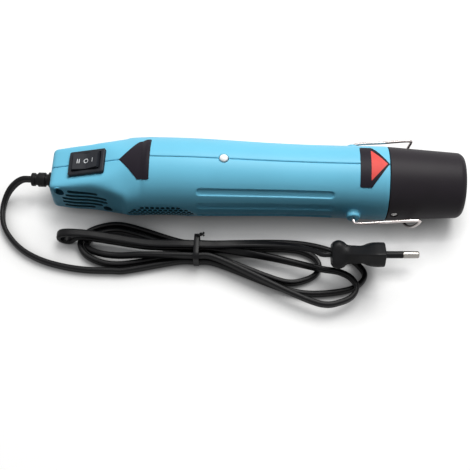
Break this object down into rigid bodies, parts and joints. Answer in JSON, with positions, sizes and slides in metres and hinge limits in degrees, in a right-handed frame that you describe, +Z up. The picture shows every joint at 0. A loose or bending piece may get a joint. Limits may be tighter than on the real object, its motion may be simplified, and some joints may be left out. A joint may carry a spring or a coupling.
{
  "type": "hot air tool",
  "caption": "Hand-held electric hot air tool: round moulded housing, tapered nozzle guard, rocker switch, swinging wire bail stand and a tied flat mains cord with a two-pin plug.",
  "frame": {"origin": "middle of the tool's box without its cord, on the surface that it lies on", "axes": "+X along the barrel towards the nozzle, +Y to the left of the barrel seen from the switch, +Z up"},
  "size_m": [0.2733, 0.0999, 0.0478],
  "materials": {
    "blue_plastic": "fine satin moulded",
    "black_plastic": "satin moulded",
    "switch_black": "semi-gloss moulded",
    "black_sticker": "printed film",
    "red_print": "printed film",
    "steel": "plain",
    "bail_steel": "bright drawn wire",
    "pin_metal": "nickel plated",
    "brass": "plain",
    "copper": "enamelled winding",
    "mica": "mica sheet",
    "heater_wire": "oxidised",
    "ferrite": "sintered",
    "board": "laminate",
    "nylon": "moulded",
    "white_plastic": "moulded",
    "lamp_lens": "polished",
    "brown_wire": "insulation",
    "blue_wire": "insulation",
    "red_wire": "insulation",
    "white_wire": "insulation",
    "cord_black": "flexible sheath",
    "tie_black": "coated wire",
    "plug_black": "moulded"
  },
  "bodies": {
    "housing": {"housing_left": "blue_plastic", "housing_right": "blue_plastic", "housing_screw_1": "steel", "housing_screw_2": "steel", "rear_sticker": "black_sticker", "front_sticker": "black_sticker", "red_triangle": "red_print", "nozzle_guard": "black_plastic", "nozzle_screw_1": "steel", "nozzle_screw_2": "steel", "heater_tube": "steel", "mica_plate_upright": "mica", "mica_plate_level": "mica", "heating_coil": "heater_wire", "thermal_cutout": "white_plastic", "motor_can": "steel", "motor_end_cap": "nylon", "motor_bush_front": "brass", "motor_bush_rear": "brass", "motor_magnet_1": "ferrite", "motor_magnet_2": "ferrite", "motor_mount": "nylon", "motor_screw_1": "steel", "motor_screw_2": "steel", "rectifier_board": "board", "bridge_rectifier": "black_plastic", "capacitor": "black_sticker", "resistor": "mica", "indicator_lens": "lamp_lens", "wire_live": "brown_wire", "wire_neutral": "blue_wire", "wire_motor": "red_wire", "wire_heater": "white_wire", "switch_body": "switch_black", "switch_terminal_1": "brass", "switch_terminal_2": "brass", "switch_terminal_3": "brass", "strain_relief": "cord_black", "cord_clamp": "nylon", "clamp_screw_1": "steel", "clamp_screw_2": "steel", "cord_inner": "cord_black", "cord_lead": "cord_black", "cord_hank": "cord_black", "cord_tail": "cord_black", "cord_tie": "tie_black", "plug_body": "plug_black", "plug_pin_1": "pin_metal", "plug_pin_2": "pin_metal", "plug_sleeve_1": "plug_black", "plug_sleeve_2": "plug_black"},
    "bail": {"bail_wire": "bail_steel"},
    "rocker": {"switch_rocker": "switch_black"},
    "rotor": {"fan_wheel": "nylon", "motor_shaft": "steel", "motor_armature": "copper"}
  },
  "joints": [
    {"name": "bail_swing", "type": "hinge", "parent": "housing", "child": "bail", "pos_m": [0.0565, 0, 0.0241], "axis": [0, 1, 0], "range_deg": [0, 95]},
    {"name": "rocker_tilt", "type": "hinge", "parent": "housing", "child": "rocker", "pos_m": [-0.09797, 0, 0.03657], "axis": [0, 1, 0], "range_deg": [-9, 9]},
    {"name": "fan_spin", "type": "hinge", "parent": "housing", "child": "rotor", "pos_m": [-0.0359, 0, 0.0241], "axis": [1, 0, 0], "continuous": true}
  ]
}
